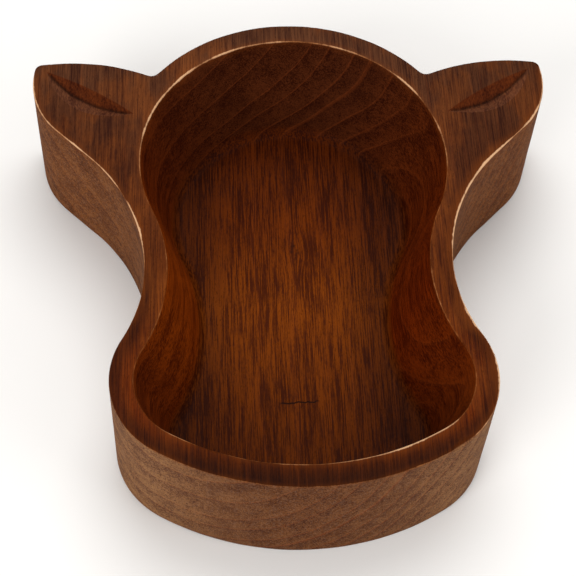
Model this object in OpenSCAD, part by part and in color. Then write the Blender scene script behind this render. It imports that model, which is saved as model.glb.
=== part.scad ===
// Carved wooden bowl in the outline of a horned animal's head, seen from above:
// a round crown with two pointed ears, a narrow waist and a broad muzzle.
// The real bowl is one block of timber, sawn to its outline and hollowed from the top.
// It is described here as the regions of that block, which meet face to face:
// a floor, the walls round the hollow, and the two solid ears.
//
// Millimetres. +Z is up, +Y runs from the muzzle to the crown.
// The origin is the centre of the underside's bounding box, where the bowl rests.

/* [Block] */
// Height of the block, from the table to the rim
height = 65; // [55:1:80]
// Width of the flat rim, between its inner and outer edges
rim_w = 10.8; // [9:0.2:13]
// Thickness of the floor
floor_t = 11.5; // [9:0.5:14]

/* [Crown] */
// Radius of the round crown, at the inner edge of the rim
crown_r = 71; // [68:1:74]
// How far past its widest line the crown's arc runs before the waist begins, in degrees
crown_past = 23.5; // [22:0.5:25]

/* [Waist] */
// Radius of the waist's arc, at the inner edge of the rim
waist_r = 82; // [78:1:86]
// Angle the waist's arc covers below its narrowest line, in degrees
waist_below = 29.5; // [28:0.5:31]

/* [Muzzle] */
// Radius of the muzzle's two corners, at the inner edge of the rim
corner_r = 29.5; // [27:0.5:32]
// Radius of the muzzle's broad front, at the inner edge of the rim
front_r = 114; // [108:1:120]

/* [Hollow] */
// How far in from the rim the wall's slope meets the floor
wall_slope = 14; // [12:0.5:16]
// Radius of the round corner where the wall meets the floor
foot_r = 6.5; // [5:0.5:8]

/* [Ears] */
// Radius of the ear's upper edge
ear_top_r = 90; // [88:1:92]
// Radius of the ear's blunt outer end
ear_end_r = 42.5; // [41:0.5:44]
// Radius of the corner between the upper edge and the outer end
ear_corner_r = 4; // [3:0.5:5]
// Radius of the armpit under the ear, where it runs into the waist
armpit_r = 89.5; // [88:0.5:91]

/* [Ear gouges] */
// Radius of the leaf-shaped gouge's curved edge
leaf_r = 33; // [31:0.5:35]
// Slope of the gouge's broad face, in degrees
leaf_slope = 20; // [16:1:24]
// Slope of the gouge's narrow face, in degrees from upright
leaf_steep = 48; // [42:1:52]

/* [Hidden] */
$fn = 120;

function polar(r, a) = [r * cos(a), r * sin(a)];
function heading(p, q) = atan2(q[1] - p[1], q[0] - p[0]);
function flip(p) = [-p[0], p[1]];

// Centres of the outline's arcs, on the right-hand side, from the crown's centre
waist_c = polar(crown_r + waist_r, -crown_past);
corner_c = waist_c + polar(waist_r + corner_r, 180 + waist_below);
front_c = [0, corner_c[1] + sqrt(pow(front_r - corner_r, 2) - pow(corner_c[0], 2))];
front_turn = heading(front_c, corner_c);

// Moves the crown's centre so that the outline's box is centred on the origin
back_y = crown_r + rim_w;
front_y = front_c[1] - front_r - rim_w;
centre = [0, -(back_y + front_y) / 2, 0];

// The armpit's arc leaves the waist's outer arc just above the narrowest line
waist_out_r = waist_r - rim_w;
armpit_start = 0.1;
armpit_c = [waist_c[0] - waist_out_r + armpit_r + armpit_start, waist_c[1]];
armpit_end = armpit_c + polar(armpit_r, 135);

// The ear's outer end touches a straight edge that leaves the armpit at 45 degrees
ear_edge_l = 21;
ear_end_low = armpit_end + polar(ear_edge_l, 45);
ear_end_c = ear_end_low + polar(ear_end_r, 135);
ear_top_c = [105, -31];

// Centre of the ear's small corner, which touches the upper edge and the outer end
near_top = ear_top_r - ear_corner_r;
near_end = ear_end_r - ear_corner_r;
apart = norm(ear_end_c - ear_top_c);
along = (near_top * near_top - near_end * near_end + apart * apart) / (2 * apart);
across = sqrt(near_top * near_top - along * along);
lean = heading(ear_top_c, ear_end_c);
ear_corner_c = ear_top_c + polar(along, lean) + polar(across, lean - 90);
to_top = heading(ear_top_c, ear_corner_c);
to_end = heading(ear_end_c, ear_corner_c);

// The gouge's chord, from its inner tip to its outer tip
leaf_in = [77.5, 28.5];
leaf_out = [116.5, 52.5];
leaf_mid = (leaf_in + leaf_out) / 2;
leaf_turn = heading(leaf_in, leaf_out);
leaf_half = norm(leaf_out - leaf_in) / 2;
leaf_c = leaf_mid + polar(sqrt(leaf_r * leaf_r - leaf_half * leaf_half), leaf_turn + 90);
leaf_deep = 8;

// The wall's inner line: an inset from the rim's inner edge at each height
wall_lean = atan(wall_slope / (height - floor_t));
foot_run = foot_r * tan((90 - wall_lean) / 2);
foot_steps = 6;
inner_line = concat(
    [[0, height]],
    [for (i = [0 : foot_steps])
        let (a = 180 + wall_lean + (90 - wall_lean) * i / foot_steps)
        [wall_slope + foot_run + foot_r * cos(a), floor_t + foot_r + foot_r * sin(a)]]
);
far = 400;

// Points far outside the block, on the lines through the tangent points of its arcs
front_out = corner_c + polar(far, front_turn);
ear_low_out = ear_end_c + polar(far, -45);
ear_end_out = ear_corner_c + polar(far, to_end);
ear_top_out = ear_corner_c + polar(far, to_top);

// Cross-section of a wall that curves round a centre inside the bowl
module section_round(r) {
    polygon(concat(
        [for (p = inner_line) [r - p[0], p[1]]],
        [[r + rim_w, floor_t], [r + rim_w, height]]
    ));
}

// Cross-section of a wall that curves round a centre outside the bowl
module section_hollow(r, r_out) {
    polygon(concat(
        [for (p = inner_line) [r + p[0], p[1]]],
        [[r_out, floor_t], [r_out, height]]
    ));
}

// A wall swept round the point c from the angle a0 to the angle a1
module sweep(c, a0, a1) {
    translate(c) rotate(a0) rotate_extrude(angle = a1 - a0) children();
}

// The part of a disc about c that lies in the fan from c out to the points
module slice(c, r, points) {
    intersection() {
        translate(c) circle(r);
        polygon(concat([c], points));
    }
}

// Everything under the arc of the right-hand armpit, to cut away above the narrowest line
module armpit() {
    translate([armpit_c[0], armpit_c[1], -1])
        rotate_extrude(angle = 180) square([armpit_r, height + 2]);
}

// Everything outside the right-hand waist, to cut away
module waist_cut() {
    translate([waist_c[0], waist_c[1], -1]) cylinder(h = height, r = waist_out_r);
}

// The floor under the crown and the upper waist, down to the narrowest line
module crown_floor() {
    difference() {
        union() {
            linear_extrude(floor_t)
                slice([0, 0], crown_r + rim_w,
                      [waist_c, [far, 0], [far, far], [-far, far], [-far, 0], flip(waist_c)]);
            difference() {
                linear_extrude(floor_t) polygon([[0, 0], waist_c, flip(waist_c)]);
                waist_cut();
                mirror([1, 0, 0]) waist_cut();
            }
        }
        armpit();
        mirror([1, 0, 0]) armpit();
    }
}

module muzzle_corner_floor() {
    linear_extrude(floor_t)
        slice(corner_c, corner_r + rim_w, [waist_c, [far, corner_c[1]], front_out]);
}

// The floor under the lower waist and the muzzle
module muzzle_floor() {
    difference() {
        linear_extrude(floor_t) polygon([waist_c, corner_c, flip(corner_c), flip(waist_c)]);
        waist_cut();
        mirror([1, 0, 0]) waist_cut();
    }
    muzzle_corner_floor();
    mirror([1, 0, 0]) muzzle_corner_floor();
    linear_extrude(floor_t)
        slice(front_c, front_r + rim_w,
              [corner_c, front_out, [0, -far], flip(front_out), flip(corner_c)]);
}

module crown_ring() {
    difference() {
        sweep([0, 0, 0], -crown_past, 180 + crown_past) section_round(crown_r);
        armpit();
        mirror([1, 0, 0]) armpit();
    }
}

// Right-hand waist wall, with its outer face running into the armpit above the waist
module cheek() {
    difference() {
        sweep([waist_c[0], waist_c[1], 0], 180 - crown_past, 180 + waist_below)
            section_hollow(waist_r, waist_out_r);
        armpit();
    }
}

module muzzle_corner() {
    sweep([corner_c[0], corner_c[1], 0], front_turn, waist_below) section_round(corner_r);
}

module muzzle_front() {
    sweep([0, front_c[1], 0], -180 - front_turn, front_turn) section_round(front_r);
}

// The ear's block: under the upper edge, in the blunt end, and in their small corner
module ear_block() {
    intersection() {
        translate([ear_top_c[0], ear_top_c[1], 0]) cylinder(h = height, r = ear_top_r);
        linear_extrude(height)
            polygon([[0, 0], waist_c, armpit_c, armpit_end, ear_end_low, ear_end_c,
                     ear_corner_c, ear_top_out, [0, far]]);
    }
    linear_extrude(height)
        slice(ear_end_c, ear_end_r, [ear_end_low, ear_low_out, ear_end_out, ear_corner_c]);
    linear_extrude(height) slice(ear_corner_c, ear_corner_r, [ear_end_out, ear_top_out]);
}

// Leaf-shaped gouge: a broad sloping face that runs down to a narrow steep one
module leaf() {
    r_low = leaf_r - leaf_deep * tan(leaf_steep);
    intersection() {
        translate([leaf_c[0], leaf_c[1], height - leaf_deep])
            cylinder(h = leaf_deep, r1 = r_low, r2 = leaf_r);
        translate([leaf_mid[0], leaf_mid[1], height])
            rotate([0, 0, leaf_turn])
                rotate([leaf_slope, 0, 0])
                    translate([-leaf_r, -2 * leaf_r, 0])
                        cube([2 * leaf_r, 4 * leaf_r, 2 * leaf_r]);
    }
}

module ear() {
    difference() {
        ear_block();
        translate([0, 0, -1]) cylinder(h = height + 2, r = crown_r + rim_w);
        armpit();
        leaf();
    }
}

module base() {
    color("#5a3317") translate(centre) {
        crown_floor();
        muzzle_floor();
    }
}

module crown_wall() {
    color("#54290f") translate(centre) crown_ring();
}

module left_cheek_wall() {
    color("#5c3012") translate(centre) mirror([1, 0, 0]) cheek();
}

module right_cheek_wall() {
    color("#5c3012") translate(centre) cheek();
}

module muzzle_wall() {
    color("#67402a") translate(centre) {
        muzzle_front();
        muzzle_corner();
        mirror([1, 0, 0]) muzzle_corner();
    }
}

module left_ear() {
    color("#6b4429") translate(centre) mirror([1, 0, 0]) ear();
}

module right_ear() {
    color("#6b4429") translate(centre) ear();
}

base();
crown_wall();
left_cheek_wall();
right_cheek_wall();
muzzle_wall();
left_ear();
right_ear();
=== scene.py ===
"""A carved wooden bowl in the outline of a horned animal's head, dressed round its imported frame.

The real bowl is one block of dark stained hardwood, sawn to its outline and hollowed from the
top. Its skin is made whole here, so that the grain and the tool marks run on without a break,
and is then cut along the same seams as the frame's regions. Sizes are in millimetres until the
finished pieces are scaled to metres.
"""

import logging
import math
from dataclasses import dataclass, field
from enum import Enum
from typing import Iterable, Union

import bmesh
import bpy
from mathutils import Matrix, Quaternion, Vector, kdtree, noise

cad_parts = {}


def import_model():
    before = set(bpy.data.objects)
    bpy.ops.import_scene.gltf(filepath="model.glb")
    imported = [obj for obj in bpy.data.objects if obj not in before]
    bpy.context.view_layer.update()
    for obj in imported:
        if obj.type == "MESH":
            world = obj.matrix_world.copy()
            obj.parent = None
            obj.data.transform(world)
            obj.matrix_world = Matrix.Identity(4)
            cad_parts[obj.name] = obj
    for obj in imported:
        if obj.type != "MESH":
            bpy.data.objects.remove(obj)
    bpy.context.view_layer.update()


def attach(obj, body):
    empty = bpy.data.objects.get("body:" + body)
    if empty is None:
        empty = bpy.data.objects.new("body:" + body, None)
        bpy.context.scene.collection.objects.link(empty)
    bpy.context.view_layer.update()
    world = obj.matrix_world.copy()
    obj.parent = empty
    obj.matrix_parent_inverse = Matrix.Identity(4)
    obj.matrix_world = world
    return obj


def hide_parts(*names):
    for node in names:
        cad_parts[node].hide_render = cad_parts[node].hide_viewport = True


LOG = logging.getLogger("carved_bowl")
MM = 0.001
SKIN_NORMAL = "skin_normal"
# What the skin tells the finish at each point
ZONES = ("top", "hollow", "arris", "lip", "worn", "gouged", "valley")
# Distances past this many millimetres from an edge are all told as the same
FAR_IN = 30.0
# Points this close, in millimetres, are one point, or lie on a cut
MERGED = 1e-4
ON_CUT = 1e-5
ON_MIDDLE = 1e-6
ON_TOP = 0.01
FLIP = Vector((-1.0, 1.0, 1.0))
# Smooth steps between a map range's two ends
SMOOTH = {"interpolation_type": "SMOOTHSTEP"}
Plane = tuple[Vector, Vector]
Size = tuple[float, float, float]
Colour = tuple[float, float, float, float]
Stain = tuple[tuple[float, str], ...]
Source = Union[bpy.types.Node, bpy.types.NodeSocket, float]


class Side(Enum):
    """Which half of the bowl a cut may touch, by the sign of x."""

    LEFT = -1
    RIGHT = 1
    BOTH = 0


class Arris(Enum):
    """The bowl's long edges, each with its own roundness and wear."""

    FOOT = "foot"
    OUTER_RIM = "outer_rim"
    INNER_RIM = "inner_rim"


def smoothstep(low: float, high: float, value: float) -> float:
    """Rises smoothly from 0 at low to 1 at high."""
    share = min(1.0, max(0.0, (value - low) / (high - low)))
    return share * share * (3.0 - 2.0 * share)


def ripple(point: Vector, length: float, seed: float = 0.0) -> float:
    """A fixed random wave over space, from 0 to 1, whose hills are about length apart."""
    return 0.5 + 0.5 * noise.noise(point / length + Vector((seed, 2.0 * seed, -seed)))


def heading(start: Vector, end: Vector) -> float:
    """The direction from one plan point to another, in degrees from +X."""
    return math.degrees(math.atan2(end.y - start.y, end.x - start.x))


def ray(length: float, degrees: float) -> Vector:
    """A plan vector of that length and direction."""
    turn = math.radians(degrees)
    return Vector((length * math.cos(turn), length * math.sin(turn), 0.0))


def meet(first: Vector, first_r: float, second: Vector, second_r: float) -> Vector:
    """Where two circles cross, on the left of the line from the first centre to the second.

    Args:
        first: centre of the first circle.
        first_r: its radius.
        second: centre of the second circle.
        second_r: its radius.

    Returns:
        The crossing point, in plan.
    """
    apart = (second - first).length
    ahead = (second - first) / apart
    along = (first_r**2 - second_r**2 + apart**2) / (2.0 * apart)
    across = math.sqrt(max(0.0, first_r**2 - along**2))
    return first + along * ahead + across * Vector((-ahead.y, ahead.x, 0.0))


@dataclass(frozen=True)
class Arc:
    """A stretch of a circle in plan, drawn from one heading to another.

    The hollow lies towards the centre where hollow_side is -1, and away from it where it is 1.
    """

    centre: Vector
    radius: float
    start: float
    stop: float
    hollow_side: float = -1.0

    @property
    def length(self) -> float:
        """Length along the arc."""
        return abs(math.radians(self.stop - self.start)) * self.radius

    def at(self, share: float) -> tuple[Vector, Vector]:
        """The point at a share of the arc, and the unit vector that points into the hollow."""
        out = ray(1.0, self.start + (self.stop - self.start) * share)
        return self.centre + self.radius * out, self.hollow_side * out


@dataclass(frozen=True)
class Straight:
    """A straight stretch of the outline."""

    start: Vector
    stop: Vector

    @property
    def length(self) -> float:
        """Length along the line."""
        return (self.stop - self.start).length

    def at(self, share: float) -> tuple[Vector, Vector]:
        """The point at a share of the line, and the unit vector on its right."""
        along = (self.stop - self.start).normalized()
        return self.start.lerp(self.stop, share), Vector((along.y, -along.x, 0.0))


def walk(stretches: Iterable[Arc | Straight], count: int) -> list[tuple[Vector, Vector]]:
    """Even steps along joined stretches, with the last end left out.

    Args:
        stretches: arcs and lines, end to end.
        count: how many steps to take.

    Returns:
        A point and its inward direction for each step.
    """
    stretches = list(stretches)
    total = sum(s.length for s in stretches)
    found = []
    for step in range(count):
        ahead = total * step / count
        for stretch in stretches:
            if ahead <= stretch.length or stretch is stretches[-1]:
                found.append(stretch.at(ahead / stretch.length))
                break
            ahead -= stretch.length
    return found


@dataclass(frozen=True)
class Station:
    """One place round the bowl: matching points on its outer and inner rim lines."""

    outer: Vector
    outward: Vector
    inner: Vector
    inward: Vector


@dataclass(frozen=True)
class Plan:
    """The bowl's outline from above, with the same sizes as the frame."""

    rim_width: float = 10.8
    crown_r: float = 71.0
    crown_past: float = 23.5
    waist_r: float = 82.0
    waist_below: float = 29.5
    corner_r: float = 29.5
    front_r: float = 114.0
    ear_top_r: float = 90.0
    ear_top_c: Vector = field(default_factory=lambda: Vector((105.0, -31.0, 0.0)))
    ear_end_r: float = 42.5
    ear_corner_r: float = 4.0
    ear_edge: float = 21.0
    ear_slant: float = 45.0
    armpit_r: float = 89.5
    # How many times the notch's sharp corner is eased, and how many steps to each side
    notch_round: int = 9
    notch_reach: int = 4
    # Steps along the crown, the ear, its armpit, the waist, the muzzle's corner and its front
    steps: tuple[int, ...] = (62, 150, 38, 36, 52, 58)

    @property
    def waist_c(self) -> Vector:
        """Centre of the right-hand waist's arc."""
        return ray(self.crown_r + self.waist_r, -self.crown_past)

    @property
    def corner_c(self) -> Vector:
        """Centre of the muzzle's right-hand corner."""
        return self.waist_c + ray(self.waist_r + self.corner_r, 180.0 + self.waist_below)

    @property
    def front_c(self) -> Vector:
        """Centre of the muzzle's broad front."""
        reach = self.front_r - self.corner_r
        return Vector((0.0, self.corner_c.y + math.sqrt(reach**2 - self.corner_c.x**2), 0.0))

    @property
    def armpit_c(self) -> Vector:
        """Centre of the arc under the right ear, which touches the waist's narrowest line."""
        return self.waist_c + Vector((self.armpit_r - self.waist_r + self.rim_width, 0.0, 0.0))

    @property
    def notch(self) -> Vector:
        """Where the ear's upper edge leaves the crown."""
        return meet(Vector(), self.crown_r + self.rim_width, self.ear_top_c, self.ear_top_r)

    @property
    def pit(self) -> Vector:
        """Where the armpit's arc leaves the crown."""
        return meet(Vector(), self.crown_r + self.rim_width, self.armpit_c, self.armpit_r)

    @property
    def shift(self) -> Vector:
        """What moves the crown's centre so that the outline's box is centred on the origin.

        Returns:
            The move, in plan.
        """
        back = self.crown_r + self.rim_width
        front = self.front_c.y - self.front_r - self.rim_width
        return Vector((0.0, -(back + front) / 2.0, 0.0))

    def ear_edges(self) -> list[Arc | Straight]:
        """The ear's outline from the notch round its tip and down to the armpit.

        Returns:
            The upper edge, the small corner, the blunt end, the straight edge and the armpit.
        """
        square_to_edge = 180.0 - self.ear_slant
        foot = self.armpit_c + ray(self.armpit_r, square_to_edge)
        low = foot + ray(self.ear_edge, self.ear_slant)
        end_c = low + ray(self.ear_end_r, square_to_edge)
        corner_c = meet(
            self.ear_top_c,
            self.ear_top_r - self.ear_corner_r,
            end_c,
            -(self.ear_end_r - self.ear_corner_r),
        )
        lean = heading(self.ear_top_c, end_c)
        off = heading(self.ear_top_c, corner_c) - lean
        corner_c = self.ear_top_c + ray((corner_c - self.ear_top_c).length, lean - off)
        to_top = heading(self.ear_top_c, corner_c)
        to_end = heading(end_c, corner_c)
        return [
            Arc(self.ear_top_c, self.ear_top_r, heading(self.ear_top_c, self.notch), to_top),
            Arc(corner_c, self.ear_corner_r, to_top, to_end),
            Arc(end_c, self.ear_end_r, to_end, -self.ear_slant),
            Straight(low, foot),
            Arc(self.armpit_c, self.armpit_r, square_to_edge, heading(self.armpit_c, self.pit)),
        ]

    def right_half(self) -> list[tuple[list[Arc | Straight], list[Arc]]]:
        """Matching outer and inner stretches from the crown's back to the muzzle's front.

        Returns:
            For each part of the outline, its outer stretches and its inner ones.
        """
        wide = self.crown_r + self.rim_width
        at_notch = heading(Vector(), self.notch)
        at_pit = heading(Vector(), self.pit)
        front_turn = heading(self.front_c, self.corner_c)
        crown, waist = Vector(), self.waist_c
        past, below = self.crown_past, 180.0 + self.waist_below
        inner_corner = Arc(self.corner_c, self.corner_r, below - 180.0, front_turn)
        outer_corner = Arc(self.corner_c, self.corner_r + self.rim_width, below - 180.0, front_turn)
        return [
            ([Arc(crown, wide, 90.0, at_notch)], [Arc(crown, self.crown_r, 90.0, at_notch)]),
            (self.ear_edges(), [Arc(crown, self.crown_r, at_notch, at_pit)]),
            (
                [Arc(self.armpit_c, self.armpit_r, heading(self.armpit_c, self.pit), 180.0)],
                [
                    Arc(crown, self.crown_r, at_pit, -past),
                    Arc(waist, self.waist_r, 180.0 - past, 180.0, 1.0),
                ],
            ),
            (
                [Arc(waist, self.waist_r - self.rim_width, 180.0, below)],
                [Arc(waist, self.waist_r, 180.0, below, 1.0)],
            ),
            ([outer_corner], [inner_corner]),
            (
                [Arc(self.front_c, self.front_r + self.rim_width, front_turn, -90.0)],
                [Arc(self.front_c, self.front_r, front_turn, -90.0)],
            ),
        ]

    def stations(self) -> list[Station]:
        """Places all round the bowl, clockwise from the crown's back.

        Returns:
            The stations; the left-hand ones mirror the right-hand ones.
        """
        outer: list[Vector] = []
        inner: list[tuple[Vector, Vector]] = []
        for (outside, inside), count in zip(self.right_half(), self.steps):
            outer += [point for point, _ in walk(outside, count)]
            inner += walk(inside, count)
        notch_at = self.steps[0]
        for _ in range(self.notch_round):
            near = range(notch_at - self.notch_reach, notch_at + self.notch_reach + 1)
            eased = {i: (outer[i - 1] + 2.0 * outer[i] + outer[i + 1]) / 4.0 for i in near}
            for i, point in eased.items():
                outer[i] = point
        last = self.front_c - Vector((0.0, self.front_r, 0.0))
        outer.append(last - Vector((0.0, self.rim_width, 0.0)))
        inner.append((last, Vector((0.0, 1.0, 0.0))))
        outer += [p * FLIP for p in reversed(outer[1:-1])]
        inner += [(p * FLIP, d * FLIP) for p, d in reversed(inner[1:-1])]
        made = []
        for i, (point, inward) in enumerate(inner):
            along = outer[(i + 1) % len(outer)] - outer[i - 1]
            outward = Vector((-along.y, along.x, 0.0)).normalized()
            made.append(Station(outer[i] + self.shift, outward, point + self.shift, inward))
        return made


@dataclass(frozen=True)
class Gouge:
    """A leaf-shaped gouge in an ear: a near face runs down to the valley, a far one up again.

    Distances midway along the gouge are from the straight line between its tips.
    """

    inner_tip: Vector
    outer_tip: Vector
    # How far the leaf's near edge bulges past the line, and the valley and the far edge beyond it
    bulge: float = 2.0
    valley: float = 4.0
    belly: float = 11.3
    # How far and over what length the valley wanders
    wander: float = 1.2
    wander_length: float = 9.0
    # Depth of the valley, softness of the leaf's edges, and half the width of the valley's painted shade
    # line
    deep: float = 3.0
    soft: float = 0.3
    valley_half: float = 1.3

    def place(self, point: Vector) -> tuple[float, float, float, float]:
        """Where a plan point is on the gouge.

        Args:
            point: a point in plan.

        Returns:
            Its share along the gouge, its distance on the muzzle's side of the line between
            the tips, the valley's distance there, and how full the leaf is: 0 at a tip, 1 midway.
        """
        chord = self.outer_tip - self.inner_tip
        along = chord.normalized()
        away = point - self.inner_tip
        share = (away.x * along.x + away.y * along.y) / chord.length
        below = abs(along.x) / along.x * (away.x * along.y - away.y * along.x)
        full = max(0.0, 4.0 * share * (1.0 - share))
        wander = self.wander * (ripple(point, self.wander_length, 5.0) - 0.5)
        valley = (self.valley + wander) * full
        return share, below, valley, full

    def beside(self, point: Vector) -> bool:
        """Whether a plan point is on the gouge or just beside it."""
        share, below, _, _ = self.place(point)
        return -0.04 < share < 1.04 and -4.0 < below < self.belly + 2.0

    def depth(self, point: Vector) -> float:
        """How deep the wood is cut away.

        Args:
            point: a point in plan.

        Returns:
            The depth, in millimetres.
        """
        _, below, valley, full = self.place(point)
        if full <= 0.0:
            return 0.0
        most, soft = self.deep * full, self.soft * full
        if below < valley:
            cut = most * (below + self.bulge * full) / (valley + self.bulge * full)
        else:
            cut = most * (self.belly * full - below) / (self.belly * full - valley)
        return 0.5 * (cut + math.sqrt(cut * cut + soft * soft))

    def face(self, point: Vector) -> tuple[float, float]:
        """Which of the gouge's faces a plan point is on, and how near the valley it is.

        Args:
            point: a point in plan.

        Returns:
            1 on the near face, -1 on the far one or 0 outside; and 1 at the valley to 0 away.
        """
        _, below, valley, full = self.place(point)
        if not -self.bulge * full < below < self.belly * full:
            return 0.0, 0.0
        near = max(0.0, 1.0 - abs(below - valley) / self.valley_half)
        return (1.0 if below < valley else -1.0), near * smoothstep(0.0, 0.3, full)


@dataclass
class Block:
    """The whole carved block: its skin, made of rings that run all round the bowl."""

    plan: Plan = field(default_factory=Plan)
    height: float = 65.0
    floor_z: float = 11.5
    wall_slope: float = 14.0
    foot_r: float = 6.5
    # How far the three long edges are rounded, before wear
    foot_arris: float = 1.7
    outer_arris: float = 1.0
    inner_arris: float = 1.0
    # The carved floor lies this far below the frame's
    floor_sink: float = 0.25
    # The middle line that the floor's rings close on
    spine_mid: float = 1.2
    spine_half: float = 64.0
    # Rings of the skin on each stretch of the cross-section
    under_rings: int = 24
    wall_rings: int = 36
    rim_rings: int = 46
    slope_rings: int = 34
    arris_rings: int = 5
    fillet_rings: int = 9
    floor_rings: int = 40
    # The chip in the muzzle's right-hand edge
    chip_at: Vector = field(default_factory=lambda: Vector((65.1, -106.8, 0.0)))
    chip_reach: float = 6.8
    chip_deep: float = 1.5
    # The right-hand gouge's tips, from the crown's centre
    gouge_in: tuple[float, float] = (74.5, 27.2)
    gouge_out: tuple[float, float] = (116.3, 53.2)
    gouges: list[Gouge] = field(default_factory=list)
    stations: list[Station] = field(default_factory=list)

    def __post_init__(self) -> None:
        """Works out the stations and the two gouges."""
        self.stations = self.plan.stations()
        for side in (1.0, -1.0):
            tips = [
                Vector((x * side, y + self.plan.shift.y, 0.0))
                for x, y in (self.gouge_in, self.gouge_out)
            ]
            self.gouges.append(Gouge(*tips))

    @property
    def lean(self) -> float:
        """The inner wall's angle from upright, in radians."""
        return math.atan(self.wall_slope / (self.height - self.floor_z))

    @property
    def foot_run(self) -> float:
        """How far the round corner at the floor runs from the corner it replaces."""
        return self.foot_r * math.tan((math.pi / 2.0 - self.lean) / 2.0)

    def spine(self, point: Vector) -> Vector:
        """The place on the bowl's middle line that a rim point's floor line runs to."""
        share = math.tanh((point.y - self.spine_mid) / (self.spine_half * 1.05))
        return Vector((0.0, self.spine_mid + self.spine_half * share, 0.0))

    def roundness(self, station: Station, arris: Arris) -> float:
        """How far the edge is worn round at a station: never even, with a few nicks and one chip.

        Args:
            station: the place round the bowl.
            arris: which edge.

        Returns:
            The run of the rounding on each face.
        """
        if arris is Arris.FOOT:
            return self.foot_arris * (0.7 + 0.6 * ripple(station.outer, 14.0, 1.0))
        if arris is Arris.INNER_RIM:
            nick = max(0.0, ripple(station.inner, 3.1, 9.0) - 0.72) * 2.5
            return self.inner_arris * (0.65 + 0.7 * ripple(station.inner, 12.0, 2.0)) + nick
        away = (station.outer - self.chip_at).length / self.chip_reach
        chip = self.chip_deep * (1.0 - smoothstep(0.55, 1.0, away))
        square = (station.outer - station.inner).normalized().dot(station.outward)
        nick = max(0.0, ripple(station.outer, 3.4, 4.0) - 0.72) * 2.8 * smoothstep(0.4, 0.8, square)
        return self.outer_arris * (0.6 + 0.8 * ripple(station.outer, 12.0, 3.0)) + nick + chip

    def section(self, s: Station) -> dict[str, Vector]:
        """The corners and tangent points of the block's cross-section.

        Args:
            s: the place round the bowl.

        Returns:
            Each point by its name.
        """
        up = Vector((0.0, 0.0, 1.0))
        low, out, lip = (self.roundness(s, arris) for arris in Arris)
        slope = Vector((math.sin(self.lean), 0.0, math.cos(self.lean)))
        bed = self.floor_z - self.floor_sink

        def inset(across: float, z: float) -> Vector:
            """A point so far in from the rim's inner line, at a height."""
            return s.inner + across * s.inward + z * up

        return {
            "under_spine": self.spine(s.inner),
            "under_lip": s.inner.copy(),
            "foot_in": s.outer - low * s.outward,
            "foot_edge": s.outer.copy(),
            "foot_up": s.outer + low * up,
            "rim_low": s.outer + (self.height - out) * up,
            "rim_edge": s.outer + self.height * up,
            "rim_in": s.outer - out * s.outward + self.height * up,
            "lip_out": inset(-lip, self.height),
            "lip_edge": inset(0.0, self.height),
            "lip_low": inset(lip * slope.x, self.height - lip * slope.z),
            "slope_end": inset(
                self.wall_slope - self.foot_run * slope.x, self.floor_z + self.foot_run * slope.z
            ),
            "slope_corner": inset(self.wall_slope, bed),
            "bed_edge": inset(self.wall_slope + self.foot_run, bed),
            "bed_spine": self.spine(s.inner) + bed * up,
        }

    def course(self) -> list[tuple[tuple[str, ...], float]]:
        """Where each ring of the skin lies on the cross-section, from below to the floor.

        Returns:
            For each ring, the two points it lies between, or the three it rounds, and its share.
        """
        runs = [
            (("under_spine", "under_lip"), self.under_rings),
            (("under_lip", "foot_in"), self.under_rings),
            (("foot_in", "foot_edge", "foot_up"), self.arris_rings),
            (("foot_up", "rim_low"), self.wall_rings),
            (("rim_low", "rim_edge", "rim_in"), self.arris_rings),
            (("rim_in", "lip_out"), self.rim_rings),
            (("lip_out", "lip_edge", "lip_low"), self.arris_rings),
            (("lip_low", "slope_end"), self.slope_rings),
            (("slope_end", "slope_corner", "bed_edge"), self.fillet_rings),
            (("bed_edge", "bed_spine"), self.floor_rings),
        ]
        made = [(runs[0][0], 0.0)]
        for names, count in runs:
            made += [(names, (i + 1) / count) for i in range(count)]
        return made

    @staticmethod
    def between(section: dict[str, Vector], names: tuple[str, ...], share: float) -> Vector:
        """A point on the line between two of a section's points, or on the curve past a third.

        Args:
            section: the section's points by name.
            names: the two or three points.
            share: how far from the first to the last.

        Returns:
            The point.
        """
        points = [section[name] for name in names]
        while len(points) > 1:
            points = [a.lerp(b, share) for a, b in zip(points, points[1:])]
        return points[0]

    def skin(self) -> bmesh.types.BMesh:
        """Draws the skin up ring by ring from the underside's middle line to the floor's.

        Returns:
            The closed skin of the whole block, in millimetres, carved and weathered.
        """
        bm = bmesh.new()
        index = bm.verts.layers.int.new("station")
        sections = [self.section(s) for s in self.stations]
        start = bmesh.ops.create_circle(bm, segments=len(self.stations), radius=1.0)
        ring = start["verts"]
        for i, vert in enumerate(ring):
            vert[index] = i
        edges = list(bm.edges)
        for number, (names, share) in enumerate(self.course()):
            if number:
                grown = bmesh.ops.extrude_edge_only(bm, edges=edges)["geom"]
                ring = [g for g in grown if isinstance(g, bmesh.types.BMVert)]
                fresh = set(ring)
                edges = [
                    g
                    for g in grown
                    if isinstance(g, bmesh.types.BMEdge) and all(v in fresh for v in g.verts)
                ]
            for vert in ring:
                vert.co = self.between(sections[vert[index]], names, share)
        bmesh.ops.remove_doubles(bm, verts=bm.verts, dist=MERGED)
        bmesh.ops.recalc_face_normals(bm, faces=bm.faces)
        self.carve(bm)
        self.weather(bm)
        return bm

    def carve(self, bm: bmesh.types.BMesh) -> None:
        """Cuts the two gouges into the ears' tops, on a finer mesh.

        Args:
            bm: the skin.
        """

        def near(vert: bmesh.types.BMVert) -> bool:
            """Whether a point of the rim's top is on a gouge or just beside it."""
            return vert.co.z >= self.height - ON_TOP and any(g.beside(vert.co) for g in self.gouges)

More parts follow.
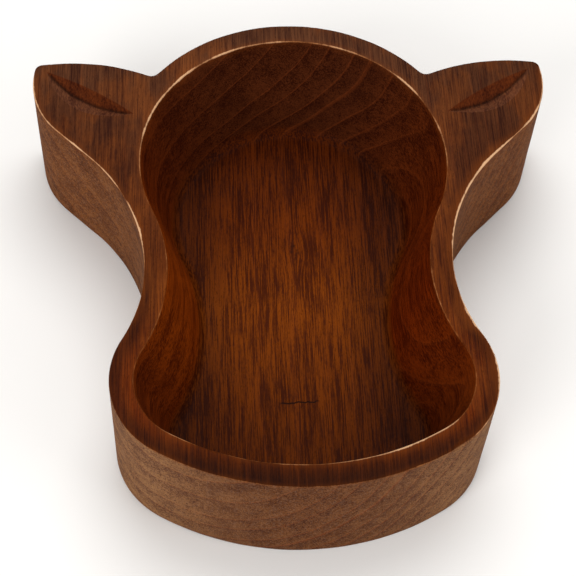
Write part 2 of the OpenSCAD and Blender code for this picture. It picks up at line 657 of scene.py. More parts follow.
        picked = {v for v in bm.verts if near(v)}
        edges = [e for e in bm.edges if e.verts[0] in picked and e.verts[1] in picked]
        bmesh.ops.subdivide_edges(bm, edges=edges, cuts=2, use_grid_fill=True)
        for vert in bm.verts:
            if near(vert):
                vert.co.z -= max(g.depth(vert.co) for g in self.gouges)

    def weather(self, bm: bmesh.types.BMesh) -> None:
        """Marks the skin's zones and wear, and moves it in by the small hollows of hand work.

        Args:
            bm: the skin. Its points get the zones, the distances to the nearest edge and to
                the hollow's lip, how worn that edge is, the gouges' faces and their valleys,
                and the skin's own direction, which the cut pieces keep.
        """
        layers = {name: bm.verts.layers.float.new(name) for name in ZONES}
        rims = {a: kdtree.KDTree(len(self.stations)) for a in (Arris.OUTER_RIM, Arris.INNER_RIM)}
        for i, s in enumerate(self.stations):
            rims[Arris.OUTER_RIM].insert(s.outer, i)
            rims[Arris.INNER_RIM].insert(s.inner, i)
        for tree in rims.values():
            tree.balance()
        bm.normal_update()
        for vert in bm.verts:
            flat = Vector((vert.co.x, vert.co.y, 0.0))
            _, at_outer, to_outer = rims[Arris.OUTER_RIM].find(flat)
            near_inner, at_inner, to_inner = rims[Arris.INNER_RIM].find(flat)
            inside = (flat - near_inner).dot(self.stations[at_inner].inward) > 0.0
            down = self.height - vert.co.z
            away = {
                Arris.OUTER_RIM: math.hypot(to_outer, down),
                Arris.INNER_RIM: math.hypot(to_inner, down),
                Arris.FOOT: math.hypot(to_outer, vert.co.z),
            }
            nearest = min(away, key=lambda name: away[name])
            vert[layers["hollow"]] = float(inside)
            is_top = vert.normal.z > 0.6 and down < 4.0 and not inside
            vert[layers["top"]] = float(is_top)
            vert[layers["arris"]] = min(away[nearest], FAR_IN)
            vert[layers["lip"]] = min(to_inner, FAR_IN)
            vert[layers["worn"]] = self.wear(flat, nearest, self.stations[at_outer].outward)
            if is_top:
                faces = [gouge.face(flat) for gouge in self.gouges]
                vert[layers["gouged"]] = sum(side for side, _ in faces)
                vert[layers["valley"]] = sum(close for _, close in faces)
        # Hollows of the gouge and the sander, up to half a millimetre deep, that only take wood away
        for vert in bm.verts:
            hollow = 0.04 + 0.34 * ripple(vert.co, 48.0, 6.0) + 0.1 * ripple(vert.co, 13.0, 7.0)
            vert.co -= hollow * vert.normal
        bm.normal_update()
        kept = bm.verts.layers.float_vector.new(SKIN_NORMAL)
        for vert in bm.verts:
            vert[kept] = vert.normal

    def wear(self, flat: Vector, arris: Arris, outward: Vector) -> float:
        """How far an edge is rubbed back to bare wood near a plan point, from 0 to 1.

        Args:
            flat: a point in plan.
            arris: the edge nearest to it.
            outward: the way the block's side faces there.

        Returns:
            The wear.
        """
        patch = 0.6 + 0.8 * (ripple(flat, 16.0, 11.0) - 0.5)
        if arris is Arris.FOOT:
            return 0.3 * patch
        if arris is Arris.INNER_RIM:
            # Hands rub the crown's lip, most on its left, and the muzzle's right-hand corner
            back = smoothstep(20.0, 80.0, flat.y)
            back_left = smoothstep(10.0, -60.0, flat.x) * back
            front_right = smoothstep(-30.0, 40.0, flat.x) * smoothstep(-70.0, -110.0, flat.y)
            return (0.66 + 0.22 * back + 0.4 * back_left + 0.5 * front_right) * patch
        # Outside, the ears' lower edges, the waist and the muzzle's right-hand side are barest
        ear = smoothstep(0.45, -0.1, outward.y) * smoothstep(-35.0, 25.0, flat.y)
        beside = smoothstep(-12.0, -40.0, flat.y) * smoothstep(-108.0, -84.0, flat.y)
        muzzle_right = smoothstep(35.0, 68.0, flat.x) * beside
        waist = smoothstep(80.0, 74.0, abs(flat.x)) * smoothstep(20.0, 0.0, flat.y)
        right = smoothstep(-20.0, 60.0, flat.x)
        return (0.22 + (1.0 + 0.35 * right) * ear + 0.4 * waist + 1.3 * muzzle_right) * patch


def cut(bm: bmesh.types.BMesh, plane: Plane, side: Side = Side.BOTH) -> None:
    """Cuts a closed solid with a plane, keeps what lies behind it and closes the cut.

    Args:
        bm: the solid.
        plane: a point on the plane, and its normal, which points at what goes.
        side: the half of the bowl that the cut may touch.
    """
    point, normal = plane

    def allowed(vert: bmesh.types.BMVert) -> bool:
        """Whether the cut may touch the point: only on its side, or on the middle line."""
        return side is Side.BOTH or vert.co.x * side.value > -ON_MIDDLE

    faces = [f for f in bm.faces if all(allowed(v) for v in f.verts)]
    edges = {e for f in faces for e in f.edges}
    verts = {v for e in edges for v in e.verts}
    done = bmesh.ops.bisect_plane(
        bm,
        geom=[*verts, *edges, *faces],
        dist=ON_CUT,
        plane_co=point,
        plane_no=normal,
        clear_outer=True,
    )
    rim = [g for g in done["geom_cut"] if isinstance(g, bmesh.types.BMEdge) and g.is_boundary]
    if not rim:
        return
    caps = bmesh.ops.triangle_fill(bm, use_beauty=True, edges=rim, normal=normal)["geom"]
    for cap in caps:
        if isinstance(cap, bmesh.types.BMFace):
            cap.smooth = False
    bmesh.ops.recalc_face_normals(bm, faces=bm.faces)


@dataclass
class Bowl:
    """The bowl's seven pieces, cut from one skin along the frame's seams."""

    block: Block = field(default_factory=Block)

    @property
    def seams(self) -> dict[str, Plane]:
        """The right-hand seams, named for what each cuts off.

        Returns:
            Each seam as a point and the normal that points at what goes.
        """
        plan, shift = self.block.plan, self.block.plan.shift
        ear = plan.pit - plan.notch
        crown_out = ray(1.0, -plan.crown_past - 90.0)
        muzzle_out = ray(1.0, plan.waist_below + 90.0)
        return {
            "ear_off": (plan.notch + shift, Vector((-ear.y, ear.x, 0.0)).normalized()),
            "floor_off": (Vector((0.0, 0.0, self.block.floor_z)), Vector((0.0, 0.0, -1.0))),
            "below_crown": (plan.waist_c + shift, crown_out),
            "above_muzzle": (plan.waist_c + shift, muzzle_out),
        }

    @staticmethod
    def turned(plane: Plane) -> Plane:
        """The same plane, for keeping the other side."""
        return plane[0], -plane[1]

    @staticmethod
    def mirrored(plane: Plane) -> Plane:
        """The matching plane on the bowl's left."""
        return plane[0] * FLIP, plane[1] * FLIP

    def pieces(self) -> dict[str, bmesh.types.BMesh]:
        """Cuts the skin into its seven closed pieces.

        Returns:
            Each piece by the name of the frame's node that it replaces.
        """
        seams = self.seams
        whole = self.block.skin()
        for face in whole.faces:
            face.smooth = True
        made: dict[str, bmesh.types.BMesh] = {}
        for name, flip in (("right_ear", False), ("left_ear", True)):
            seam = self.mirrored(seams["ear_off"]) if flip else seams["ear_off"]
            made[name] = whole.copy()
            cut(made[name], self.turned(seam))
            cut(whole, seam)
        made["base"] = whole.copy()
        cut(made["base"], self.turned(seams["floor_off"]))
        cut(whole, seams["floor_off"])
        bmesh.ops.bisect_plane(
            whole,
            geom=[*whole.verts, *whole.edges, *whole.faces],
            dist=ON_CUT,
            plane_co=Vector(),
            plane_no=Vector((1.0, 0.0, 0.0)),
        )
        made["crown_wall"] = whole.copy()
        cut(made["crown_wall"], seams["below_crown"], Side.RIGHT)
        cut(made["crown_wall"], self.mirrored(seams["below_crown"]), Side.LEFT)
        made["muzzle_wall"] = whole.copy()
        cut(made["muzzle_wall"], seams["above_muzzle"], Side.RIGHT)
        cut(made["muzzle_wall"], self.mirrored(seams["above_muzzle"]), Side.LEFT)
        for name, flip in (("right_cheek_wall", False), ("left_cheek_wall", True)):
            cheek = whole.copy()
            middle = (Vector(), Vector((1.0 if flip else -1.0, 0.0, 0.0)))
            cut(cheek, middle)
            for seam in (self.turned(seams["below_crown"]), self.turned(seams["above_muzzle"])):
                cut(cheek, self.mirrored(seam) if flip else seam)
            made[name] = cheek
        whole.free()
        return made


def keep_normals(mesh: bpy.types.Mesh) -> None:
    """Gives a piece the whole skin's normals, so that the light runs on across its seams.

    Args:
        mesh: the piece's mesh, with the skin's normals as an attribute, which is then removed.
    """
    kept = mesh.attributes[SKIN_NORMAL]
    normals = []
    for face in mesh.polygons:
        flat = face.normal.copy()
        normals += [kept.data[i].vector.copy() if face.use_smooth else flat for i in face.vertices]
    mesh.normals_split_custom_set(normals)
    mesh.attributes.remove(kept)


def linear(code: str) -> Colour:
    """Turns an sRGB hex colour into the linear values that nodes take.

    Args:
        code: the colour, as # and six hex digits.

    Returns:
        Linear red, green and blue, and full opacity.
    """
    parts = [int(code[i : i + 2], 16) / 255.0 for i in (1, 3, 5)]
    made = [c / 12.92 if c <= 0.04045 else ((c + 0.055) / 1.055) ** 2.4 for c in parts]
    return (made[0], made[1], made[2], 1.0)


def add(
    tree: bpy.types.NodeTree,
    kind: str,
    inputs: dict[int | str, object] | None = None,
    **settings: object,
) -> bpy.types.Node:
    """Adds a node with its settings, values and links.

    Args:
        tree: the material's node tree.
        kind: the node's type, without its ShaderNode prefix.
        inputs: for each input, by name or number: a value, a socket, or a node, whose first
            output in use is linked.
        settings: the node's own properties.

    Returns:
        The new node.
    """
    node = tree.nodes.new("ShaderNode" + kind)
    for name, value in settings.items():
        setattr(node, name, value)
    for key, value in (inputs or {}).items():
        if isinstance(value, bpy.types.Node):
            value = next(output for output in value.outputs if output.enabled)
        if isinstance(value, bpy.types.NodeSocket):
            tree.links.new(value, node.inputs[key])
        else:
            node.inputs[key].default_value = value
    return node


def weigh(tree: bpy.types.NodeTree, parts: list[tuple[Source, float]], start: float) -> Source:
    """Adds up several values, each with its weight.

    Args:
        tree: the material's node tree.
        parts: each value and its weight.
        start: what the sum starts from.

    Returns:
        The sum.
    """
    total: Source = start
    for value, weight in parts:
        total = add(tree, "Math", {0: value, 1: weight, 2: total}, operation="MULTIPLY_ADD")
    return total


@dataclass(frozen=True)
class Grain:
    """A random pattern, with the size of its marks in millimetres along X, Y and Z."""

    size: Size
    detail: float

    def over(self, tree: bpy.types.NodeTree, mm: Source) -> bpy.types.Node:
        """Lays the pattern over places.

        Args:
            tree: the material's node tree.
            mm: the place in millimetres.

        Returns:
            The pattern, whose values lie about one half.
        """
        inverse = tuple(1.0 / size for size in self.size)
        vector = add(tree, "VectorMath", {0: mm, 1: inverse}, operation="MULTIPLY")
        values = {"Vector": vector, "Scale": 1.0, "Detail": self.detail, "Roughness": 0.6}
        return add(tree, "TexNoise", values)


@dataclass(frozen=True)
class Coat:
    """A colour laid over the wood, and how much of it shows where its mask is full."""

    colour: str
    share: float

    def over(self, tree: bpy.types.NodeTree, under: Source, mask: Source) -> bpy.types.Node:
        """Lays the coat over the colour below it, where the mask is."""
        shown = add(tree, "Math", {0: mask, 1: self.share}, operation="MULTIPLY")
        return add(tree, "Mix", {0: shown, 6: under, 7: linear(self.colour)}, data_type="RGBA")


@dataclass(frozen=True)
class Surface:
    """What the finish reads at each point: its place, its facing and the piece's own zones."""

    tree: bpy.types.NodeTree
    mm: bpy.types.Node
    place: bpy.types.Node
    facing: bpy.types.Node
    zone: dict[str, bpy.types.NodeSocket]

    @classmethod
    def read(cls, tree: bpy.types.NodeTree) -> "Surface":
        """Adds the nodes that read the point.

        Args:
            tree: the material's node tree.

        Returns:
            The surface, with its places in millimetres.
        """
        coords = add(tree, "TexCoord")
        mm = add(tree, "VectorMath", {0: coords.outputs["Object"], "Scale": 1.0 / MM}, operation="SCALE")
        return cls(
            tree=tree,
            mm=mm,
            place=add(tree, "SeparateXYZ", {0: mm}),
            facing=add(tree, "SeparateXYZ", {0: coords.outputs["Normal"]}),
            zone={n: add(tree, "Attribute", attribute_name=n).outputs["Fac"] for n in ZONES},
        )

    @property
    def x(self) -> bpy.types.NodeSocket:
        """Millimetres to the right of the middle line."""
        return self.place.outputs["X"]

    @property
    def y(self) -> bpy.types.NodeSocket:
        """Millimetres from the middle towards the crown."""
        return self.place.outputs["Y"]

    @property
    def z(self) -> bpy.types.NodeSocket:
        """Millimetres above the underside."""
        return self.place.outputs["Z"]

    def level(self) -> bpy.types.Node:
        """1 where the face lies level, 0 where it stands."""
        up = add(self.tree, "Math", {0: self.facing.outputs["Z"]}, operation="ABSOLUTE")
        return add(self.tree, "MapRange", {0: up, 1: 0.5, 2: 0.9}, **SMOOTH)

    def end_grain(self) -> bpy.types.Node:
        """1 where the face cuts across the block's length, 0 where it runs along it."""
        along = add(self.tree, "Math", {0: self.facing.outputs["Y"]}, operation="ABSOLUTE")
        return add(self.tree, "MapRange", {0: along, 1: 0.35, 2: 0.95}, **SMOOTH)


@dataclass(frozen=True)
class StainedHardwood:
    """Sawn, gouged and sanded hardwood, stained dark and lightly waxed.

    The eye sees fine streaks and open pores along the block, thin light growth lines where it
    is cut across, a satin hollow, a rim greyed towards the crown by painted sheen, dusty sides,
    and bare tan wood where the edges have rubbed. Painted shade darkens the floor's sides and
    the gouges' near faces and valleys, painted sheen greys the gouges' far faces, and painted
    light brightens the left waist's inner wall. A stain is given as colours at distances from
    the middle towards the crown.
    """

    name: str = "stained_hardwood_hand_carved"
    # The stain lies thickest in the crown's half and on the rim's outer edge; the floor's darker sides,
    # towards the walls, are painted shade
    floor: Stain = (
        (-100, "#501f01"), (-60, "#582301"), (-5, "#692d03"), (40, "#582101"), (85, "#421500"),
    )
    wall: Stain = ((-90, "#531f05"), (-25, "#5c1c02"), (35, "#521b03"), (100, "#441c0b"))
    # The rim's stain greys towards the crown: painted sheen, as from a back light on the waxed top; its
    # dark front is stain
    rim: Stain = (
        (-125, "#2e0e01"), (-108, "#461a03"), (-85, "#551e03"), (-25, "#552407"), (40, "#49220f"),
        (110, "#4e2b1a"),
    )
    side: Stain = ((-125, "#5b331c"), (-105, "#7a5237"), (-20, "#663b21"), (60, "#673a1e"))
    # Painted shade: the floor darkens towards the feet of the walls, which shade it
    floor_sides_painted_shade: Coat = Coat("#2e0e02", 0.78)
    # Painted light: the left waist's inner wall, which faces right, brighter and more orange, as a lamp
    # on the right would make it
    left_waist_painted_light: Coat = Coat("#8a3a06", 0.42)
    warm_rim: Coat = Coat("#6b3310", 0.4)
    outer_rim: Coat = Coat("#2a0f04", 1.0)
    # Painted shade on the gouges' near faces and along their valleys; painted sheen on their far faces,
    # which tilt towards the back light
    gouge_near_face_painted_shade: Coat = Coat("#481a05", 0.8)
    gouge_far_face_painted_sheen: Coat = Coat("#5c3322", 0.6)
    gouge_valley_painted_shade: Coat = Coat("#1f0902", 0.85)
    dust: Coat = Coat("#8c6a55", 0.3)
    growth_line: Coat = Coat("#95451c", 1.0)
    pore: Coat = Coat("#1f0902", 0.42)
    mark: Coat = Coat("#1f0902", 1.0)
    thin_stain: Coat = Coat("#864212", 0.30)
    # Wood rubbed bare is tan, and browner where some stain is left
    bare: str = "#d2a47b"
    half_bare: str = "#a5683a"
    # What a dark and a light streak multiply the stain by
    streak_dark: Colour = (0.46, 0.38, 0.40, 1.0)
    streak_light: Colour = (1.50, 1.66, 1.50, 1.0)
    # Finer streaks than these are too small to show
    fine: Grain = Grain((0.55, 20.0, 0.55), 2.0)
    medium: Grain = Grain((1.9, 38.0, 1.9), 2.0)
    broad: Grain = Grain((6.5, 90.0, 6.5), 2.0)
    mottle: Grain = Grain((14.0, 30.0, 20.0), 3.0)
    speck: Grain = Grain((0.7, 2.6, 0.7), 1.0)
    dusting: Grain = Grain((1.1, 1.6, 0.9), 3.0)
    rubbing: Grain = Grain((3.5, 3.5, 3.5), 3.0)
    knot_break: Grain = Grain((1.6, 2.6, 1.6), 1.0)
    crack_waver: Grain = Grain((6.0, 400.0, 400.0), 2.0)
    # The pin knot and the short drying crack in the floor
    knot_at: tuple[float, float] = (1.8, 27.5)
    crack_at: tuple[float, float] = (0.5, -56.4)
    crack_half: float = 9.8
    # The growth rings' heart, above the bowl's left side, and how they crowd away from it
    pith: Size = (-52.7, 0.0, 93.0)
    first_ring: float = 45.9
    rings_per_mm: float = 0.056
    rings_growth: float = 0.000585
    # Thin wax over an open grain: a weak, wide gloss
    gloss: float = 0.03
    ior: float = 1.48
    smooth_rough: float = 0.52
    outside_rough: float = 0.75
    relief: float = 0.18

    def build(self) -> bpy.types.Material:
        """Makes the material, shared by every piece so that the grain runs on across seams.

        Returns:
            The material.
        """
        material = bpy.data.materials.new(self.name)
        material.use_nodes = True
        tree = material.node_tree
        tree.nodes.clear()
        face = Surface.read(tree)
        line, late = self.rings(face)
        knot, flow = self.knot(face)
        fine, broad = self.fine.over(tree, flow), self.broad.over(tree, flow)
        medium, mottle = self.medium.over(tree, flow), self.mottle.over(tree, flow)
        speck = self.speck.over(tree, face.mm)
        pores = add(tree, "MapRange", {0: speck, 1: 0.62, 2: 0.74}, **SMOOTH)
        outside = weigh(tree, [(face.zone["top"], -1.0), (face.zone["hollow"], -1.0)], 1.0)
        low = add(tree, "MapRange", {0: face.z, 1: 17.0, 2: 11.8}, **SMOOTH)
        level = face.level()
        colour = self.gouged(face, self.rim_shades(face, self.stained(face, low), mottle))
        # Each pattern's weight in the streaks, which the flat rim shows least
        banding = add(tree, "Mix", {0: level, 2: 0.5, 3: 0.2})
        band = add(tree, "Math", {0: weigh(tree, [(late, 1.0)], -0.5), 1: banding}, operation="MULTIPLY")
        parts = [(fine, 3.8), (medium, 1.3), (broad, 1.3), (mottle, 0.9), (speck, 1.1), (band, 1.0)]
        strength = add(tree, "MapRange", {0: level, 3: 0.8, 4: 1.25})
        strength = add(tree, "Mix", {0: face.zone["top"], 2: strength, 3: 0.62})
        streaks = {0: weigh(tree, parts, -4.2), 1: strength, 2: 0.5}
        tone = add(tree, "Math", streaks, operation="MULTIPLY_ADD")
        gain = add(tree, "Mix", {0: tone, 6: self.streak_dark, 7: self.streak_light}, data_type="RGBA")
        colour = add(tree, "Mix", {0: 1.0, 6: colour, 7: gain}, data_type="RGBA", blend_type="MULTIPLY")
        colour = self.marked(face, colour, outside, line, pores)
        crack = add(tree, "Math", {0: knot, 1: self.crack(face, low)}, operation="MAXIMUM")
        colour = self.mark.over(tree, colour, crack)
        rub, halo = self.rubbed(face, fine)
        colour = self.thin_stain.over(tree, colour, halo)
        raw = add(tree, "MapRange", {0: face.zone["worn"], 1: 0.4, 2: 0.9}, **SMOOTH)
        bare = {0: raw, 6: linear(self.half_bare), 7: linear(self.bare)}
        rubbed = {0: rub, 6: colour, 7: add(tree, "Mix", bare, data_type="RGBA")}
        rough = add(tree, "Mix", {0: outside, 2: self.smooth_rough, 3: self.outside_rough})
        height = weigh(tree, [(fine, 0.8), (speck, 0.3), (pores, -0.6), (broad, 0.4)], 0.0)
        bump = {"Height": height, "Distance": self.relief * MM, "Strength": 0.9}
        values = {
            "Base Color": add(tree, "Mix", rubbed, data_type="RGBA"),
            "Roughness": weigh(tree, [(rough, 1.0), (fine, 0.3), (rub, 0.15)], -0.15),
            "Normal": add(tree, "Bump", bump),
            "IOR": self.ior,
            "Specular IOR Level": self.gloss,
        }
        add(tree, "OutputMaterial", {"Surface": add(tree, "BsdfPrincipled", values)})
        return material

    def stain(self, face: Surface, stops: Stain) -> bpy.types.Node:
        """A stain's colour at a point.

        Args:
            face: what is known at the point.
            stops: the stain's colours along the bowl.

        Returns:
            The colour.
        """
        reach = 130.0
        share = add(face.tree, "MapRange", {0: face.y, 1: -reach, 2: reach})
        made = add(face.tree, "ValToRGB", {0: share})
        ramp = made.color_ramp.elements
        for slot, (at, code) in ((0, stops[0]), (1, stops[-1])):
            ramp[slot].position, ramp[slot].color = 0.5 + at / (2.0 * reach), linear(code)
        for at, code in stops[1:-1]:
            ramp.new(0.5 + at / (2.0 * reach)).color = linear(code)
        return made

    def stained(self, face: Surface, low: Source) -> bpy.types.Node:
        """The stain on the floor, the walls, the rim and the sides, with painted shade on the floor's
        sides, painted light on the left waist's inner wall and painted sheen on the rim towards the
        crown.

        Args:
            face: what is known at the point.
            low: 1 on the floor, 0 on the walls.

        Returns:
            The colour.
        """
        tree = face.tree
        # Painted shade on the floor, growing from the middle line towards the walls
        off_middle = add(tree, "Math", {0: face.x, 1: 4.0}, operation="ADD")
        off_middle = add(tree, "Math", {0: off_middle}, operation="ABSOLUTE")
        floor_shade_mask = add(tree, "MapRange", {0: off_middle, 1: 16.0, 2: 56.0}, **SMOOTH)
        floor = self.floor_sides_painted_shade.over(tree, self.stain(face, self.floor), floor_shade_mask)
        # Painted light on the left waist's inner wall, fading off towards the crown, the muzzle and the
        # right
        left = add(tree, "MapRange", {0: face.x, 1: 30.0, 2: -60.0}, **SMOOTH)
        below_crown = add(tree, "MapRange", {0: face.y, 1: 45.0, 2: -5.0}, **SMOOTH)
        above_muzzle = add(tree, "MapRange", {0: face.y, 1: -75.0, 2: -30.0}, **SMOOTH)
        waist = add(tree, "Math", {0: left, 1: below_crown}, operation="MULTIPLY")
        waist = add(tree, "Math", {0: waist, 1: above_muzzle}, operation="MULTIPLY")
        walls = self.left_waist_painted_light.over(tree, self.stain(face, self.wall), waist)
        inside = add(tree, "Mix", {0: low, 6: walls, 7: floor}, data_type="RGBA")
        # The rim's stain carries its painted sheen towards the crown
        outer = {0: face.zone["top"], 6: self.stain(face, self.side), 7: self.stain(face, self.rim)}
        outer = add(tree, "Mix", outer, data_type="RGBA")
        return add(tree, "Mix", {0: face.zone["hollow"], 6: outer, 7: inside}, data_type="RGBA")

    def rim_shades(self, face: Surface, colour: Source, mottle: Source) -> bpy.types.Node:
        """Warm patches on the rim and the ears, and the rim's darker outer half.

        Args:
            face: what is known at the point.
            colour: the stain's colour.
            mottle: the pattern of the patches.

        Returns:
            The colour with both.
        """
        tree, top = face.tree, face.zone["top"]
        patch = add(tree, "MapRange", {0: mottle, 1: 0.46, 2: 0.64}, **SMOOTH)
        off_front = add(tree, "MapRange", {0: face.y, 1: -115.0, 2: -75.0}, **SMOOTH)
        warm = add(tree, "Math", {0: patch, 1: top}, operation="MULTIPLY")
        warm = add(tree, "Math", {0: warm, 1: off_front}, operation="MULTIPLY")
        colour = self.warm_rim.over(tree, colour, warm)
        outer_half = add(tree, "MapRange", {0: face.zone["lip"], 1: 2.0, 2: 8.0}, **SMOOTH)
        outer_half = add(tree, "Math", {0: outer_half, 1: top}, operation="MULTIPLY")
        at_muzzle = add(tree, "MapRange", {0: face.y, 1: 20.0, 2: -60.0}, **SMOOTH)
        strength = add(tree, "MapRange", {0: at_muzzle, 3: 0.12, 4: 0.62})
        shade = add(tree, "Math", {0: outer_half, 1: strength}, operation="MULTIPLY")
        right = add(tree, "MapRange", {0: face.x, 1: 60.0, 2: 95.0}, **SMOOTH)
        right_ear = add(tree, "Math", {0: right, 1: top}, operation="MULTIPLY")
        return self.outer_rim.over(tree, colour, weigh(tree, [(shade, 1.0), (right_ear, 0.2)], 0.0))

    def gouged(self, face: Surface, colour: Source) -> bpy.types.Node:
        """The two faces of each ear's gouge, the near one darkened by painted shade and the far one
        greyed by painted sheen, and a painted shade line along the valley between them.

        Args:
            face: what is known at the point.
            colour: the rim's colour.

        Returns:
            The colour with the gouges.
        """
        tree, side = face.tree, face.zone["gouged"]
        # Painted shade on the near faces, painted sheen on the far faces
        near = add(tree, "MapRange", {0: side, 1: 0.0, 2: 0.8}, **SMOOTH)
        far = add(tree, "MapRange", {0: side, 1: 0.0, 2: -0.8}, **SMOOTH)
        colour = self.gouge_near_face_painted_shade.over(tree, colour, near)
        colour = self.gouge_far_face_painted_sheen.over(tree, colour, far)
        # Painted shade along each valley
        return self.gouge_valley_painted_shade.over(tree, colour, face.zone["valley"])

    def marked(
        self, face: Surface, colour: Source, outside: Source, line: Source, pores: Source
    ) -> bpy.types.Node:
        """Dust on the outside, the growth rings' light lines and the pores.

        Args:
            face: what is known at the point.
            colour: the streaked colour.
            outside: 1 on the bowl's outside.
            line: 1 on a growth line.
            pores: 1 in a pore.

        Returns:
            The colour with all three.
        """
        tree = face.tree
        dusty = add(tree, "MapRange", {0: self.dusting.over(tree, face.mm), 1: 0.42, 2: 0.72}, **SMOOTH)
        dusty = add(tree, "Math", {0: dusty, 1: outside}, operation="MULTIPLY")
        colour = self.dust.over(tree, colour, dusty)
        seen = add(tree, "MapRange", {0: face.end_grain(), 3: 0.05, 4: 0.17})
        seen = add(tree, "Mix", {0: face.zone["top"], 2: seen, 3: 0.05})
        lines = add(tree, "Math", {0: line, 1: seen}, operation="MULTIPLY")
        return self.pore.over(tree, self.growth_line.over(tree, colour, lines), pores)

    def rings(self, face: Surface) -> tuple[bpy.types.Node, bpy.types.Node]:
        """Growth rings about the heart of the tree, closer together further out.

        Args:
            face: what is known at the point.

        Returns:
            A mask of the thin light lines, and the darkening through each ring.
        """
        tree = face.tree
        bend = (1.0 / 60.0, 1.0 / 110.0, 1.0 / 60.0)
        bent = add(tree, "VectorMath", {0: face.mm, 1: bend}, operation="MULTIPLY")
        wave = add(tree, "TexNoise", {"Vector": bent, "Scale": 1.0, "Detail": 2.0}).outputs["Color"]
        wave = add(tree, "VectorMath", {0: wave, 1: (0.5, 0.5, 0.5)}, operation="SUBTRACT")
        swing = add(tree, "VectorMath", {0: wave, "Scale": 9.0}, operation="SCALE")
        moved = add(tree, "VectorMath", {0: face.mm, 1: swing}, operation="ADD")
        away = add(tree, "VectorMath", {0: moved, 1: self.pith}, operation="SUBTRACT")
        flat = add(tree, "VectorMath", {0: away, 1: (1.0, 0.0, 1.0)}, operation="MULTIPLY")
        radius = add(tree, "VectorMath", {0: flat}, operation="LENGTH")
        past = add(tree, "Math", {0: radius, 1: self.first_ring}, operation="SUBTRACT")
        rate = weigh(tree, [(past, self.rings_growth)], self.rings_per_mm)
        count = add(tree, "Math", {0: past, 1: rate}, operation="MULTIPLY")
        step = add(tree, "Math", {0: radius, 1: 0.08}, operation="MULTIPLY")
        spacing = {"W": step, "Scale": 1.0, "Detail": 1.0}
        uneven = add(tree, "TexNoise", spacing, noise_dimensions="1D")
        shifted = add(tree, "Math", {0: uneven, 1: 0.8, 2: count}, operation="MULTIPLY_ADD")
        density = weigh(tree, [(past, 2.0 * self.rings_growth)], self.rings_per_mm)
        near = add(tree, "Math", {0: shifted, 1: 0.5}, operation="PINGPONG")
        gap = add(tree, "Math", {0: near, 1: density}, operation="DIVIDE")
        late = add(tree, "Math", {0: shifted}, operation="FRACT")
        return add(tree, "MapRange", {0: gap, 1: 0.6, 2: 0.15}, **SMOOTH), late

    def knot(self, face: Surface) -> tuple[bpy.types.Node, bpy.types.Node]:
        """A pin knot in the floor, with the grain flowing round it.

        Args:
            face: what is known at the point.

        Returns:
            A mask of the knot's dark ring, and the place as the grain sees it.
        """
        tree = face.tree
        aside = add(tree, "Math", {0: face.x, 1: self.knot_at[0]}, operation="SUBTRACT")
        along = add(tree, "Math", {0: face.y, 1: self.knot_at[1]}, operation="SUBTRACT")
        squeezed = add(tree, "Math", {0: along, 1: 0.45}, operation="MULTIPLY")
        away = add(tree, "CombineXYZ", {"X": aside, "Y": squeezed})
        far = add(tree, "VectorMath", {0: away}, operation="LENGTH")
        close = add(tree, "MapRange", {0: far, 1: 9.0, 2: 0.0}, **SMOOTH)
        pull = add(tree, "Math", {0: close, 1: aside}, operation="MULTIPLY")
        pull = add(tree, "Math", {0: pull, 1: -0.75}, operation="MULTIPLY")
        push = add(tree, "CombineXYZ", {"X": pull})
        flow = add(tree, "VectorMath", {0: face.mm, 1: push}, operation="ADD")
        ring = add(tree, "Math", {0: far, 1: 1.5}, operation="SUBTRACT")
        ring = add(tree, "Math", {0: ring}, operation="ABSOLUTE")
        ring = add(tree, "MapRange", {0: ring, 1: 1.1, 2: 0.2}, **SMOOTH)
        broken = {0: self.knot_break.over(tree, face.mm), 1: 0.4, 2: 0.62}
        broken = add(tree, "MapRange", broken, **SMOOTH)
        on_floor = add(tree, "MapRange", {0: face.z, 1: 13.0, 2: 12.0}, **SMOOTH)
        broken = add(tree, "Math", {0: broken, 1: on_floor}, operation="MULTIPLY")
        mask = add(tree, "Math", {0: ring, 1: broken}, operation="MULTIPLY")
        return add(tree, "Math", {0: mask, 1: 0.55}, operation="MULTIPLY"), flow

    def crack(self, face: Surface, low: Source) -> bpy.types.Node:
        """The short drying crack that runs across the floor near the muzzle.

        Args:
            face: what is known at the point.
            low: 1 on the floor.

        Returns:
            A mask of the crack.
        """
        tree = face.tree
        waver = self.crack_waver.over(tree, face.mm)
        line = weigh(tree, [(waver, 4.0), (face.y, -1.0)], self.crack_at[1] - 2.0)
        off = add(tree, "Math", {0: line}, operation="ABSOLUTE")
        aside = add(tree, "Math", {0: face.x, 1: self.crack_at[0]}, operation="SUBTRACT")
        aside = add(tree, "Math", {0: aside}, operation="ABSOLUTE")
        ends = {0: aside, 1: self.crack_half, 2: self.crack_half - 2.5}
        ends = add(tree, "MapRange", ends, **SMOOTH)
        thin = add(tree, "MapRange", {0: off, 1: 0.55, 2: 0.2}, **SMOOTH)
        thin = add(tree, "Math", {0: thin, 1: ends}, operation="MULTIPLY")
        return add(tree, "Math", {0: thin, 1: low}, operation="MULTIPLY")

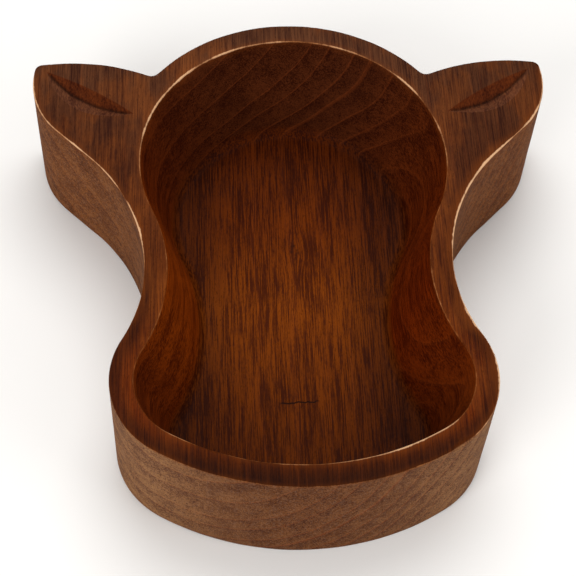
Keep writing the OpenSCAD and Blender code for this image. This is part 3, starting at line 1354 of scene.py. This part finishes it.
    def rubbed(self, face: Surface, fine: Source) -> tuple[bpy.types.Node, bpy.types.Node]:
        """Bare wood along the worn edges.

        Args:
            face: what is known at the point.
            fine: the fine grain, which frays the bare wood's edge.

        Returns:
            A mask of the bare wood, and a wider mask where the stain is thin.
        """
        tree, worn, arris = face.tree, face.zone["worn"], face.zone["arris"]
        reach = weigh(tree, [(self.rubbing.over(tree, face.mm), 1.4), (fine, 0.6)], 0.1)
        wide = add(tree, "Math", {0: reach, 1: worn}, operation="MULTIPLY")
        left = add(tree, "Math", {0: wide, 1: arris}, operation="SUBTRACT")
        halo = add(tree, "Math", {0: worn, 1: 5.0}, operation="MULTIPLY")
        thin = add(tree, "Math", {0: halo, 1: arris}, operation="SUBTRACT")
        rub = add(tree, "MapRange", {0: left, 1: -0.1, 2: 0.5}, **SMOOTH)
        return rub, add(tree, "MapRange", {0: thin, 1: -1.0, 2: 5.0}, **SMOOTH)


@dataclass(frozen=True)
class PaleFloor:
    """Matt white board: an even pale ground with no mark on it."""

    name: str = "matt_white_board"
    colour: str = "#f4f2ef"
    rough: float = 0.9
    size: float = 6.0

    def build(self) -> bpy.types.Object:
        """Makes the ground that the bowl stands on.

        Returns:
            The ground.
        """
        bm = bmesh.new()
        bmesh.ops.create_grid(bm, x_segments=1, y_segments=1, size=self.size / 2.0)
        mesh = bpy.data.meshes.new("ground")
        bm.to_mesh(mesh)
        bm.free()
        ground = bpy.data.objects.new("ground", mesh)
        bpy.context.scene.collection.objects.link(ground)
        material = bpy.data.materials.new(self.name)
        material.use_nodes = True
        shader = material.node_tree.nodes["Principled BSDF"]
        shader.inputs["Base Color"].default_value = linear(self.colour)
        shader.inputs["Roughness"].default_value = self.rough
        mesh.materials.append(material)
        return ground


@dataclass(frozen=True)
class Softbox:
    """A large soft studio light that points at the bowl; its sizes are in metres."""

    name: str
    place: Size
    width: float
    watts: float
    colour: str = "#ffffff"

    def build(self) -> bpy.types.Object:
        """Makes the light and turns it to the bowl.

        Returns:
            The light.
        """
        data = bpy.data.lights.new(self.name, "AREA")
        data.shape, data.size, data.energy = "DISK", self.width, self.watts
        data.color = linear(self.colour)[:3]
        lamp = bpy.data.objects.new(self.name, data)
        lamp.location = self.place
        lamp.rotation_mode = "QUATERNION"
        lamp.rotation_quaternion = (-Vector(self.place)).to_track_quat("-Z", "Y")
        bpy.context.scene.collection.objects.link(lamp)
        return lamp


@dataclass(frozen=True)
class Studio:
    """The camera, the lights and the ground; places are in metres, and the roll in degrees."""

    eye: Size = (-0.04212, -0.40968, 0.66020)
    aim: Size = (-0.00348, -0.00592, 0.02989)
    roll: float = 3.765
    lens: float = 100.66
    sensor: float = 36.0
    sky: str = "#ffffff"
    sky_strength: float = 0.50
    lights: tuple[Softbox, ...] = (
        Softbox("overhead_softbox", (0.05, 0.45, 1.15), 0.9, 7.5),
        Softbox("front_left_softbox", (-0.75, -0.95, 0.75), 0.8, 9.0),
        Softbox("front_right_softbox", (0.95, -0.55, 0.7), 0.7, 3.4),
    )

    def build(self) -> None:
        """Makes everything round the bowl."""
        scene = bpy.context.scene
        scene.view_settings.view_transform = "Standard"
        data = bpy.data.cameras.new("camera")
        data.lens, data.sensor_width = self.lens, self.sensor
        camera = bpy.data.objects.new("camera", data)
        camera.location = self.eye
        camera.rotation_mode = "QUATERNION"
        look = (Vector(self.aim) - Vector(self.eye)).to_track_quat("-Z", "Y")
        camera.rotation_quaternion = look @ Quaternion((0.0, 0.0, 1.0), math.radians(self.roll))
        scene.collection.objects.link(camera)
        scene.camera = camera
        world = bpy.data.worlds.new("studio")
        world.use_nodes = True
        back = world.node_tree.nodes["Background"]
        back.inputs["Color"].default_value = linear(self.sky)
        back.inputs["Strength"].default_value = self.sky_strength
        scene.world = world
        for light in self.lights:
            light.build()
        PaleFloor().build()


def main() -> None:
    """Loads the frame, builds the bowl's pieces round it and sets up the studio."""
    logging.basicConfig(level=logging.INFO, format="%(message)s")
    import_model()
    Studio().build()
    finish = StainedHardwood().build()
    for name, bm in Bowl().pieces().items():
        bmesh.ops.scale(bm, vec=(MM, MM, MM), verts=bm.verts)
        mesh = bpy.data.meshes.new(name + "_carved")
        bm.to_mesh(mesh)
        bm.free()
        mesh.materials.append(finish)
        keep_normals(mesh)
        piece = bpy.data.objects.new(name + "_carved", mesh)
        bpy.context.scene.collection.objects.link(piece)
        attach(piece, "root")
        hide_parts(name)
        LOG.info("%s: %d faces", piece.name, len(mesh.polygons))


if __name__ == "__main__":
    main()
